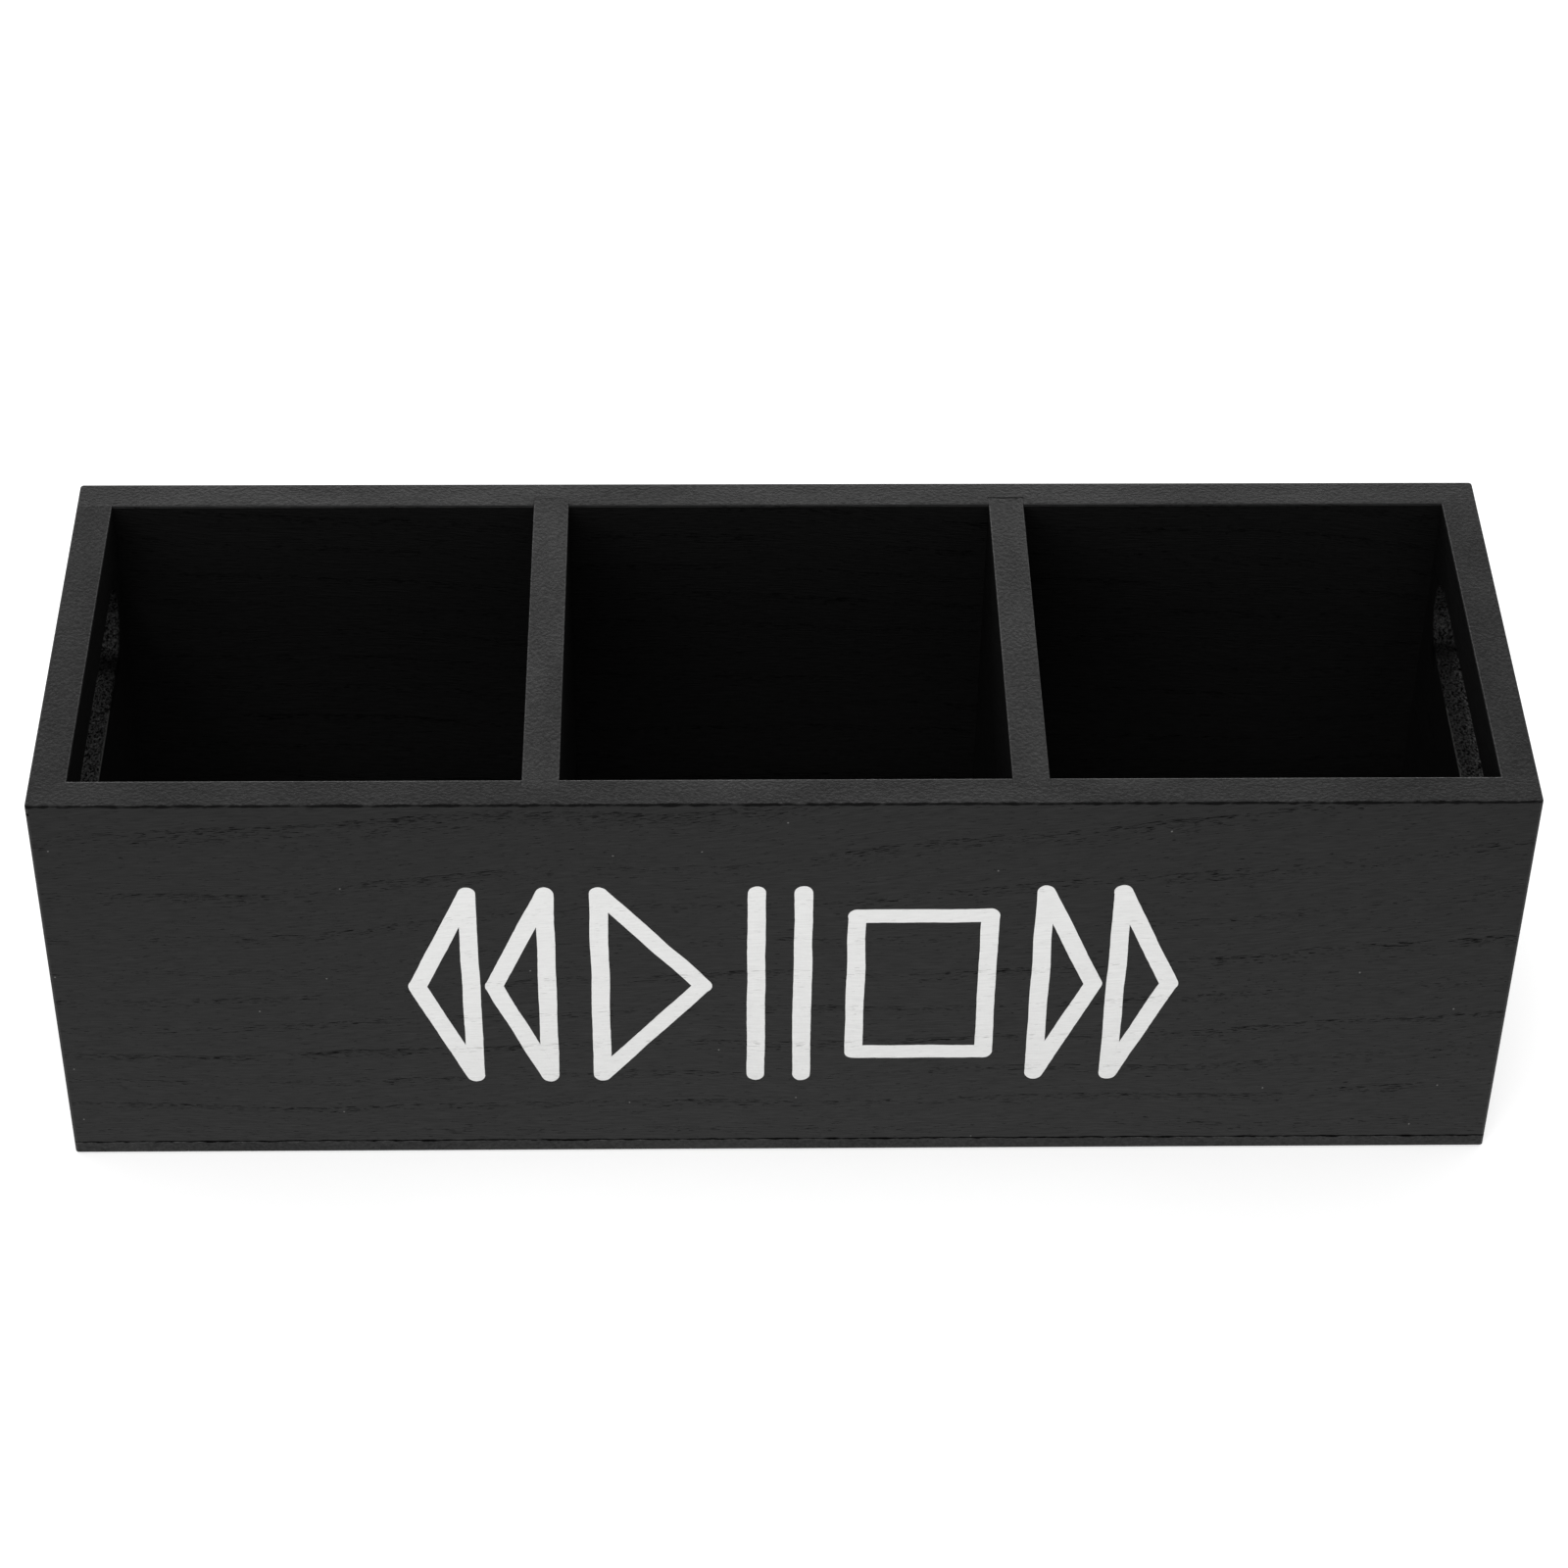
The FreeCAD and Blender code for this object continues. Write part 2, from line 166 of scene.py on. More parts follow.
def add_object(name: str, data: bmesh.types.BMesh | bpy.types.ID) -> Object:
    """Puts an object into the scene.

    Args:
        name: the object's name.
        data: its lamp or camera, or its mesh in place, which is used up.

    Returns:
        The object.
    """
    if isinstance(data, bmesh.types.BMesh):
        shape, data = data, bpy.data.meshes.new(name)
        shape.to_mesh(data)
        shape.free()
    item = bpy.data.objects.new(name, data)
    bpy.context.scene.collection.objects.link(item)
    return item


@dataclass(frozen=True)
class Zone:
    """A block of space, in metres, where a finish differs.

    It is given by its middle, its half sizes, how far its faces wander in and out, the margin
    over which it fades, and how much it adds to the finish, or takes from it if negative.
    """

    middle: Triple
    half: Triple
    ragged: float = 0.0
    soft: float = 0.2 * MM
    depth: float = 1.0

    def mask(self, tree: NodeTree, place: NodeSocket, wander: Node | float = 0.0) -> Node:
        """Tells how far a place lies in the block.

        Args:
            tree: the node tree.
            place: the place, in metres.
            wander: how far its faces stand out there, from -1 to 1.

        Returns:
            The depth inside, which fades to 0 over the soft margin.
        """
        arm = add_node(tree, "VectorMath", place, self.middle, operation="SUBTRACT")
        size = add_node(tree, "VectorMath", arm, operation="ABSOLUTE")
        past = add_node(tree, "VectorMath", size, self.half, operation="SUBTRACT")
        x, y, z = add_node(tree, "SeparateXYZ", past).outputs
        side = add_node(tree, "Math", x, y, operation="MAXIMUM")
        far = add_node(tree, "Math", side, z, operation="MAXIMUM")
        near = add_node(tree, "Math", wander, -self.ragged, far, operation="MULTIPLY_ADD")
        return add_node(tree, "MapRange", near, 0.0, self.soft, self.depth, 0.0)


def grain_noise(tree: NodeTree, grain: Node, cells: Triple, detail: float) -> Node:
    """Draws a noise in cells that are stretched along the grain.

    Args:
        tree: the node tree.
        grain: the place in the grain.
        cells: how many there are to the millimetre along, across and through the board.
        detail: how many finer layers it has.

    Returns:
        The noise, about 0.5.
    """
    laid = add_node(tree, "VectorMath", grain, cells, operation="MULTIPLY")
    return add_node(tree, "TexNoise", laid, sockets={"Scale": 1.0, "Detail": detail})


@dataclass(frozen=True)
class OpenGrain:
    """The grain of a ring-porous wood such as paulownia or ash, as the paint lets it show.

    The pores of the early wood stand in bands along the growth rings. Brushed paint doesn't
    fill them, so they show as fine dark dashes. Sizes are in millimetres, and cells are
    counted to the millimetre, along the grain, across the face and through the board. The fan
    tells how the rings spread. A range holds the noise at which a feature starts and is full.
    """

    lie: Lie
    pith_across: float = 130.0
    pith_through: float = -8.5
    seed: float = 0.0
    fan: float = 0.0011
    drift_cells: Triple = (0.013, 0.02, 0.02)
    drift_reach: Triple = (0, 9, 6)
    ring_width: float = 7.4
    early_share: float = 0.34
    year_vigour: Pair = (0.4, 0.85)
    patch_cells: Triple = (0.05, 0.16, 0.16)
    patch_range: Pair = (0.35, 0.62)
    patch_least: float = 0.3
    pore_length: float = 2.3
    pore_width: float = 0.17
    pore_crowding: float = 0.24
    pore_range: Pair = (0.712, 0.762)
    pore_darkness: float = 0.85
    fibre_length: float = 4.2
    fibre_width: float = 0.3

    def coordinates(self, tree: NodeTree) -> Node:
        """Lays out the grain: along it, across the board's face, and through the board.

        Args:
            tree: the node tree.

        Returns:
            The place in the grain, in millimetres.
        """
        place = add_node(tree, "TexCoord").outputs["Object"]
        sockets = {"Rotation": self.lie.turn(), "Scale": (1 / MM, 1 / MM, 1 / MM)}
        laid = add_node(tree, "Mapping", place, sockets=sockets)
        along, across, through = add_node(tree, "SeparateXYZ", laid).outputs
        spread = add_node(tree, "Math", along, -self.fan, 1.0, operation="MULTIPLY_ADD")
        fanned = add_node(tree, "Math", across, spread, operation="MULTIPLY")
        moved = add_node(tree, "Math", along, self.seed, operation="ADD")
        straight = add_node(tree, "CombineXYZ", moved, fanned, through)
        drift = grain_noise(tree, straight, self.drift_cells, 1.5)
        sway = add_node(
            tree, "VectorMath", drift.outputs["Color"], self.drift_reach, operation="MULTIPLY"
        )
        return add_node(tree, "VectorMath", straight, sway, operation="ADD")

    def pore_density(self, tree: NodeTree, grain: Node) -> Node:
        """Bands the pores by growth ring, dense where a ring starts and thin in late wood.

        Args:
            tree: the node tree.
            grain: the place in the grain.

        Returns:
            The density, from 0 to 1.
        """
        pith = (0, self.pith_across, self.pith_through)
        arm = add_node(tree, "VectorMath", grain, pith, operation="SUBTRACT")
        flat_arm = add_node(tree, "VectorMath", arm, (0, 1, 1), operation="MULTIPLY")
        radius = add_node(tree, "VectorMath", flat_arm, operation="LENGTH")
        ring = add_node(tree, "Math", radius.outputs["Value"], self.ring_width, operation="DIVIDE")
        phase = add_node(tree, "Math", ring, operation="FRACT")
        early = add_node(tree, "MapRange", phase, 0.0, self.early_share, 1.0, 0.0)
        number = add_node(tree, "Math", ring, operation="FLOOR")
        year = add_node(tree, "TexWhiteNoise", number, noise_dimensions="1D")
        vigour = add_node(tree, "MapRange", year.outputs["Value"], 0.0, 1.0, *self.year_vigour)
        banded = add_node(tree, "Math", early, vigour, operation="MULTIPLY")
        patch = grain_noise(tree, grain, self.patch_cells, 1.0)
        share = add_node(tree, "MapRange", patch, *self.patch_range, self.patch_least, 1.0)
        return add_node(tree, "Math", banded, share, operation="MULTIPLY")

    def pores(self, tree: NodeTree, grain: Node) -> Node:
        """Draws the pores as fine dashes along the grain, linked where they stand close.

        Args:
            tree: the node tree.
            grain: the place in the grain.

        Returns:
            The darkness in the middle of a pore, and 0 outside.
        """
        density = self.pore_density(tree, grain)
        shrink = (1 / self.pore_length, 1 / self.pore_width, 1 / self.pore_width)
        dashes = grain_noise(tree, grain, shrink, 1.0)
        crowding = self.pore_crowding
        raised = add_node(tree, "Math", density, crowding, dashes, operation="MULTIPLY_ADD")
        return add_node(tree, "MapRange", raised, *self.pore_range, 0.0, self.pore_darkness)

    def fibres(self, tree: NodeTree, grain: Node) -> Node:
        """Draws the fine ridges that the brush and the fibres leave along the grain.

        Args:
            tree: the node tree.
            grain: the place in the grain.

        Returns:
            The ridges, about 0.5.
        """
        shrink = (1 / self.fibre_length, 1 / self.fibre_width, 1 / self.fibre_width)
        return grain_noise(tree, grain, shrink, 2.0)


@dataclass(frozen=True)
class BoardMap:
    """The nodes that tell a board's paint where it lies.

    They give the place in metres, the place in the grain, and from 0 to 1 the sawn edges, the
    arrises, the inside, the hand slot and the pores. The texture is about 0.5.
    """

    tree: NodeTree
    place: NodeSocket
    grain: Node
    edge: Node
    arris: Node
    inside: Node
    slot: Node
    pores: Node
    texture: Node

    def by_edge(self, face: float, edge: float) -> Node:
        """Gives one value on the flat faces and another on the sawn edges."""
        return add_node(self.tree, "MapRange", self.edge, 0.0, 1.0, face, edge)


@dataclass(frozen=True)
class BlackPaint:
    """Thin black acrylic paint, brushed on open-grained wood and rubbed down.

    It gives a soft charcoal sheen on the flat faces, broken by dark pores. The sawn edges are
    lumpier, with a blotchy sheen, because the wood drank more of the paint. The inside and the
    hand slots are painted a darker black, as painted shade, under a weaker coat that looks dull.

    A sheen is a weight of the clear coat, and an inner share is what is left of it inside. A
    contrast tells how far the texture changes colour and sheen. Cells are counted to the
    millimetre, as in the grain. A turn holds the cosines at which an edge or an arris is full
    and gone. A speck's spacing is in millimetres, and its rim is a share of that.
    """

    inside: Zone
    grain: OpenGrain
    dark_lines: tuple[Zone, ...] = ()
    dark_spots: tuple[Zone, ...] = ()
    # Blocks of painted highlight and painted shade, carried as more or less sheen.
    painted_sheen: tuple[Zone, ...] = ()
    # Arrises that get a pale painted highlight.
    painted_highlights: tuple[Zone, ...] = ()

    face_colour: str = "#1F1F1F"
    edge_colour: str = "#212121"
    # The inside is painted darker than the outside, as painted shade, and paler towards its depth,
    # as painted light.
    inner_colour: str = "#141414"
    deep_colour: str = "#252525"
    deep_start: float = 85.0 * MM
    deep_end: float = 28.0 * MM
    # The pore colour also draws the dark lines and spots, some of which are painted shade.
    pore_colour: str = "#060606"
    # Pale for specks of dust and for painted highlights.
    pale_colour: str = "#6E6E6D"

    face_sheen: float = 0.295
    edge_sheen: float = 0.25
    arris_sheen: float = 0.28
    inner_face_share: float = 0.03
    inner_edge_share: float = 0.7
    roughness: float = 0.75
    coat_roughness: float = 0.38
    coat_ior: float = 1.5

    face_contrast: float = 0.74
    edge_contrast: float = 0.8
    slot_contrast: float = 6.0
    lump_cells: Triple = (1.15, 1.45, 1.45)
    slot_fineness: float = 0.35
    blotches: float = 0.6
    blotch_cells: Triple = (0.045, 0.12, 0.12)
    wander_cells: Triple = (0.35, 0.9, 0.9)

    face_relief: float = 0.5
    edge_relief: float = 1.6
    inner_relief: float = 5.0
    pore_relief: float = 1.6
    relief_height: float = 0.12 * MM

    speck_spacing: float = 19.0
    speck_share: float = 0.33
    speck_rim: Pair = (0.006, 0.012)
    edge_turn: Pair = (0.75, 0.95)
    arris_turn: Pair = (0.93, 0.995)

    def edge(self, tree: NodeTree, normal: NodeSocket) -> Node:
        """Finds the sawn edges, whose faces don't look through the board.

        Args:
            tree: the node tree.
            normal: the surface's direction.

        Returns:
            1 on a sawn edge and 0 on a flat face.
        """
        through = self.grain.lie.through()
        facing = add_node(tree, "VectorMath", normal, through, operation="DOT_PRODUCT")
        size = add_node(tree, "Math", facing.outputs["Value"], operation="ABSOLUTE")
        return add_node(tree, "MapRange", size, *self.edge_turn, 1.0, 0.0)

    def arris(self, tree: NodeTree, normal: NodeSocket) -> Node:
        """Finds the rubbed arrises, which look along none of the box's three directions.

        Args:
            tree: the node tree.
            normal: the surface's direction.

        Returns:
            1 on an arris and 0 on a flat face.
        """
        size = add_node(tree, "VectorMath", normal, operation="ABSOLUTE")
        x, y, z = add_node(tree, "SeparateXYZ", size).outputs
        side = add_node(tree, "Math", x, y, operation="MAXIMUM")
        largest = add_node(tree, "Math", side, z, operation="MAXIMUM")
        return add_node(tree, "MapRange", largest, *self.arris_turn, 1.0, 0.0)

    def texture(self, tree: NodeTree, grain: Node, edge: Node, slot: Node) -> Node:
        """Draws brush ridges on the flat faces and lumps on the sawn edges.

        The lumps come from end grain and saw marks, and are finer in the hand slots.

        Args:
            tree: the node tree.
            grain: the place in the grain.
            edge: the share of sawn edge.
            slot: the share of hand slot.

        Returns:
            The texture, about 0.5.
        """
        cells = add_node(tree, "VectorMath", grain, self.lump_cells, operation="MULTIPLY")
        fineness = add_node(tree, "Math", slot, self.slot_fineness, 1.0, operation="MULTIPLY_ADD")
        sockets = {"Scale": fineness, "Detail": 2.0, "Roughness": 0.6}
        lumps = add_node(tree, "TexNoise", cells, sockets=sockets)
        fibres = self.grain.fibres(tree, grain)
        return add_node(tree, "Mix", edge, fibres, lumps)

    def map_board(self, tree: NodeTree) -> BoardMap:
        """Finds the parts of the board that take the paint in their own way.

        Args:
            tree: the node tree.

        Returns:
            The map.
        """
        coordinates = add_node(tree, "TexCoord")
        place = coordinates.outputs["Object"]
        normal = coordinates.outputs["Normal"]
        grain = self.grain.coordinates(tree)
        edge = self.edge(tree, normal)
        inside = self.inside.mask(tree, place)
        slot = add_node(tree, "Math", inside, edge, operation="MULTIPLY")
        face = add_node(tree, "Math", 1.0, edge, operation="SUBTRACT")
        pores = self.grain.pores(tree, grain)
        outer_pores = add_node(tree, "Math", pores, face, operation="MULTIPLY")
        arris = self.arris(tree, normal)
        texture = self.texture(tree, grain, edge, slot)
        return BoardMap(tree, place, grain, edge, arris, inside, slot, outer_pores, texture)

    def pale(self, board: BoardMap) -> Node:
        """Scatters specks of dust that dried into the outer faces, and paints pale highlights on
        some arrises.

        Args:
            board: where the board's parts lie.

        Returns:
            1 on a speck, and the depth on a painted highlight.
        """
        tree = board.tree
        shrink = (1 / self.speck_spacing,) * 3
        cells = add_node(tree, "VectorMath", board.grain, shrink, operation="MULTIPLY")
        spots = add_node(
            tree, "TexVoronoi", cells, sockets={"Scale": 1.0}, voronoi_dimensions="2D"
        )
        chance = add_node(tree, "SeparateColor", spots.outputs["Color"])
        hidden = add_node(tree, "Math", board.inside, board.edge, operation="MAXIMUM")
        share = add_node(tree, "MapRange", hidden, 0.0, 1.0, self.speck_share, 0.0)
        kept = add_node(tree, "Math", chance, share, operation="LESS_THAN")
        dot = add_node(tree, "MapRange", spots.outputs["Distance"], *self.speck_rim, 1.0, 0.0)
        pale = add_node(tree, "Math", dot, kept, operation="MULTIPLY")
        # Painted highlights on arrises, in the pale colour.
        for arris in self.painted_highlights:
            highlit = arris.mask(tree, board.place)
            pale = add_node(tree, "Math", pale, highlit, operation="MAXIMUM")
        return pale

    def dark(self, board: BoardMap) -> Node:
        """Joins the pores, the ragged dark lines of the outside, and the dark spots.

        Args:
            board: where the board's parts lie.

        Returns:
            1 where the paint is missing or darkened, and where lines or spots of painted shade
            lie.
        """
        tree = board.tree
        dark = board.pores
        if self.dark_lines:
            patch = grain_noise(tree, board.grain, self.wander_cells, 2.0)
            wander = add_node(tree, "MapRange", patch, *NOISE_SPREAD, -1.0, 1.0)
            outside = add_node(tree, "Math", 1.0, board.inside, operation="SUBTRACT")
        # Joints, and ragged lines of painted shade along arrises and in cracks.
        for line in self.dark_lines:
            drawn = line.mask(tree, board.place, wander)
            shown = add_node(tree, "Math", drawn, outside, operation="MULTIPLY")
            dark = add_node(tree, "Math", dark, shown, operation="MAXIMUM")
        # Nicks, and spots of painted shade.
        for spot in self.dark_spots:
            shown = spot.mask(tree, board.place)
            dark = add_node(tree, "Math", dark, shown, operation="MAXIMUM")
        return dark

    def coat(self, board: BoardMap) -> Node:
        """Colours the coat by face, sawn edge and inside.

        The inside is painted darker, as painted shade, and its depth paler again, as painted
        light that keeps it from going black.

        Args:
            board: where the board's parts lie.

        Returns:
            The colour of an even coat.
        """
        tree = board.tree
        outer_colours = linear(self.face_colour), linear(self.edge_colour)
        outer = add_node(tree, "Mix", board.edge, *outer_colours, data_type="RGBA")
        level = add_node(tree, "SeparateXYZ", board.place).outputs["Z"]
        depth = add_node(tree, "MapRange", level, self.deep_start, self.deep_end, 0.0, 1.0)
        # Painted light: the inside grows paler with the square of its depth.
        painted_depth_light = add_node(tree, "Math", depth, depth, operation="MULTIPLY")
        inner_colours = linear(self.inner_colour), linear(self.deep_colour)
        inner = add_node(tree, "Mix", painted_depth_light, *inner_colours, data_type="RGBA")
        return add_node(tree, "Mix", board.inside, outer, inner, data_type="RGBA")

    def streaks(self, board: BoardMap) -> Node:
        """Makes the coat uneven, by its texture and by the blotches of the sawn edges.

        Args:
            board: where the board's parts lie.

        Returns:
            A factor for colour and sheen, about 1.
        """
        tree = board.tree
        outer = board.by_edge(self.face_contrast, self.edge_contrast)
        gain = self.slot_contrast
        contrast = add_node(tree, "Math", board.slot, gain, outer, operation="MULTIPLY_ADD")
        blotch = grain_noise(tree, board.grain, self.blotch_cells, 2.0)
        least, most = 1.0 - self.blotches / 2, 1.0 + self.blotches / 2
        blotched = add_node(tree, "MapRange", blotch, 0.0, 1.0, least, most)
        level = add_node(tree, "Mix", board.edge, 1.0, blotched)
        off = add_node(tree, "Math", board.texture, 0.5, operation="SUBTRACT")
        return add_node(tree, "Math", off, contrast, level, operation="MULTIPLY_ADD")

    def sheen(self, board: BoardMap, streaks: Node, lost: Node) -> Node:
        """Weighs the soft gloss, which is rubbed up on the arrises, dull inside, and raised or
        lowered in blocks of painted highlight and painted shade.

        Args:
            board: where the board's parts lie.
            streaks: the factor of an uneven coat.
            lost: 1 where the coat is missing or covered, or gives way to painted shade or a
                painted highlight.

        Returns:
            The coat's weight.
        """
        tree = board.tree
        plain = board.by_edge(self.face_sheen, self.edge_sheen)
        gain = self.arris_sheen
        rubbed = add_node(tree, "Math", board.arris, gain, plain, operation="MULTIPLY_ADD")
        # Painted highlight and painted shade, as blocks that raise or lower the sheen.
        for zone in self.painted_sheen:
            change = zone.mask(tree, board.place)
            rubbed = add_node(tree, "Math", rubbed, change, operation="ADD")
        inner_share = board.by_edge(self.inner_face_share, self.inner_edge_share)
        share = add_node(tree, "Mix", board.inside, 1.0, inner_share)
        coated = add_node(tree, "Math", rubbed, share, operation="MULTIPLY")
        uneven = add_node(tree, "Math", coated, streaks, operation="MULTIPLY")
        kept = add_node(tree, "Math", 1.0, lost, operation="SUBTRACT")
        return add_node(tree, "Math", uneven, kept, operation="MULTIPLY")

    def relief(self, board: BoardMap) -> Node:
        """Raises the texture, coarser on a sawn edge and inside, and sinks the pores.

        Args:
            board: where the board's parts lie.

        Returns:
            The surface's direction.
        """
        tree = board.tree
        rough = board.by_edge(self.face_relief, self.edge_relief)
        rougher = add_node(tree, "MapRange", board.inside, 0.0, 1.0, 1.0, self.inner_relief)
        grit = add_node(tree, "Math", rough, rougher, operation="MULTIPLY")
        rise = add_node(tree, "Math", board.texture, grit, operation="MULTIPLY")
        sink = -self.pore_relief
        height = add_node(tree, "Math", board.pores, sink, rise, operation="MULTIPLY_ADD")
        sockets = {"Strength": 1.0, "Distance": self.relief_height, "Height": height}
        return add_node(tree, "Bump", sockets=sockets)

    def material(self, name: str) -> Material:
        """Makes the paint of one board.

        Args:
            name: the material's name.

        Returns:
            The material.
        """
        material, tree = new_material(name)
        board = self.map_board(tree)
        pale = self.pale(board)
        dark = self.dark(board)
        streaks = self.streaks(board)
        streaked = add_node(tree, "VectorMath", self.coat(board), streaks, operation="MULTIPLY")
        # Pores, nicks and joints, and the lines and spots of painted shade.
        pored_and_shaded = add_node(tree, "Mix", dark, streaked, linear(self.pore_colour), data_type="RGBA")
        # Pale specks of dust, and pale painted highlights.
        shown = add_node(tree, "Mix", pale, pored_and_shaded, linear(self.pale_colour), data_type="RGBA")
        lost = add_node(tree, "Math", dark, pale, operation="MAXIMUM")
        relief = self.relief(board)
        surface = add_node(
            tree,
            "BsdfPrincipled",
            sockets={
                "Base Color": shown,
                "Roughness": self.roughness,
                "Specular IOR Level": 0.0,
                "Normal": relief,
                "Coat Weight": self.sheen(board, streaks, lost),
                "Coat Roughness": self.coat_roughness,
                "Coat IOR": self.coat_ior,
                "Coat Normal": relief,
            },
        )
        add_node(tree, "OutputMaterial", surface)
        return material


@dataclass(frozen=True)
class WhiteMarkPaint:
    """White craft paint, brushed over the black coat.

    It gives an even, slightly chalky white that sinks into the largest pores.
    """

    grain: OpenGrain
    name: str = "white brushed mark paint"
    colour: str = "#EAEAE9"
    pore_colour: str = "#8E8E8B"
    pore_range: Pair = (0.4, 1.0)
    pore_share: float = 0.6
    streak_levels: Pair = (0.94, 1.03)
    ridge_relief: float = 0.4
    relief_strength: float = 0.4
    relief_height: float = 0.08 * MM
    roughness: float = 0.6
    ior: float = 1.5
    specular: float = 0.3

    def material(self) -> Material:
        """Makes the paint.

        Returns:
            The material.
        """
        material, tree = new_material(self.name)
        grain = self.grain.coordinates(tree)
        pores = self.grain.pores(tree, grain)
        fibres = self.grain.fibres(tree, grain)
        sunk = add_node(tree, "MapRange", pores, *self.pore_range, 0.0, self.pore_share)
        streak = add_node(tree, "MapRange", fibres, *NOISE_SPREAD, *self.streak_levels)
        coat = add_node(tree, "VectorMath", linear(self.colour)[:3], streak, operation="MULTIPLY")
        shown = add_node(tree, "Mix", sunk, coat, linear(self.pore_colour), data_type="RGBA")
        ridge = add_node(tree, "Math", fibres, self.ridge_relief, operation="MULTIPLY")
        height = add_node(tree, "Math", ridge, pores, operation="SUBTRACT")
        strength, rise = self.relief_strength, self.relief_height
        sockets = {"Strength": strength, "Distance": rise, "Height": height}
        relief = add_node(tree, "Bump", sockets=sockets)
        surface = add_node(
            tree,
            "BsdfPrincipled",
            sockets={
                "Base Color": shown,
                "Roughness": self.roughness,
                "IOR": self.ior,
                "Specular IOR Level": self.specular,
                "Normal": relief,
            },
        )
        add_node(tree, "OutputMaterial", surface)
        return material


@dataclass(frozen=True)
class DrawnWire:
    """Bright drawn steel wire: a grey metal with fine scratches.

    Their cells are counted to the metre along X, Y and Z, and Z runs along a bottom brad.
    """

    name: str = "bright drawn steel wire"
    colour: str = "#B8B9BB"
    shade: str = "#8F9092"
    scratch_cells: Triple = (6000.0, 6000.0, 700.0)
    roughness: Pair = (0.3, 0.5)

    def material(self) -> Material:
        """Makes the steel.

        Returns:
            The material.
        """
        material, tree = new_material(self.name)
        place = add_node(tree, "TexCoord").outputs["Object"]
        cells = add_node(tree, "Mapping", place, sockets={"Scale": self.scratch_cells})
        lines = add_node(tree, "TexNoise", cells, sockets={"Scale": 1.0, "Detail": 3.0})
        colours = linear(self.shade), linear(self.colour)
        colour = add_node(tree, "Mix", lines, *colours, data_type="RGBA")
        roughness = add_node(tree, "MapRange", lines, *NOISE_SPREAD, *self.roughness)
        sockets = {"Base Color": colour, "Metallic": 1.0, "Roughness": roughness}
        surface = add_node(tree, "BsdfPrincipled", sockets=sockets)
        add_node(tree, "OutputMaterial", surface)
        return material


@dataclass(frozen=True)
class Stroke:
    """One straight brush stroke, from a start to an end in millimetres on the front."""

    start: Pair
    end: Pair


def path(*points: Pair, closed: bool = False) -> list[Stroke]:
    """Joins points by strokes.

    Args:
        points: the corners, in millimetres.
        closed: whether a last stroke goes back to the first point.

    Returns:
        The strokes in order.
    """
    ends = points[1:] + (points[:1] if closed else ())
    return [Stroke(start, end) for start, end in zip(points, ends)]


